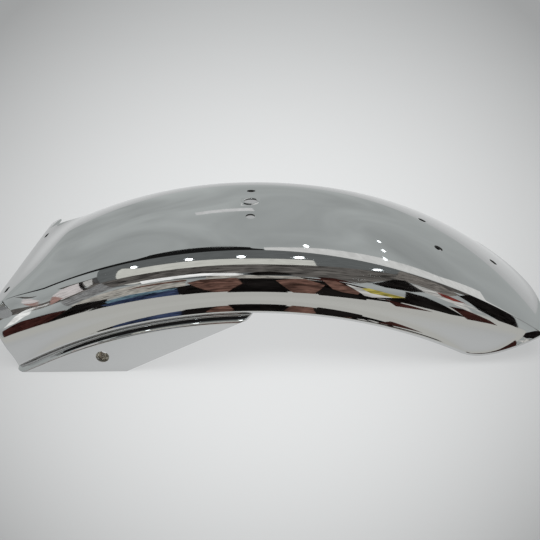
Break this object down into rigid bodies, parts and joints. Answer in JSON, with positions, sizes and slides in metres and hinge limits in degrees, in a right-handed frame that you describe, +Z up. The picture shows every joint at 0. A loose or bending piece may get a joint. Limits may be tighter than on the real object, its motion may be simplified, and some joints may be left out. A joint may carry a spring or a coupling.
{
  "type": "motorcycle rear mudguard",
  "caption": "Chromed rear mudguard blade, arched over the wheel with rolled bead edges, a slotted front flange and drilled side plates with welded nuts.",
  "frame": {"origin": "Centre of the underside, level with the bottom edges of the side plates that the mudguard stands on", "axes": "+Z up, +X toward the tail, +Y toward the right side of the machine, with the wheel axle parallel to Y"},
  "size_m": [0.3947, 0.1672, 0.0874],
  "materials": {
    "chrome_plate": "mirror polished chrome plate",
    "weld_nut": "plated steel, dull"
  },
  "bodies": {
    "root": {"mudguard_blade": "chrome_plate", "left_side_plate": "chrome_plate", "right_side_plate": "chrome_plate", "left_weld_nut": "weld_nut", "right_weld_nut": "weld_nut"}
  },
  "joints": []
}
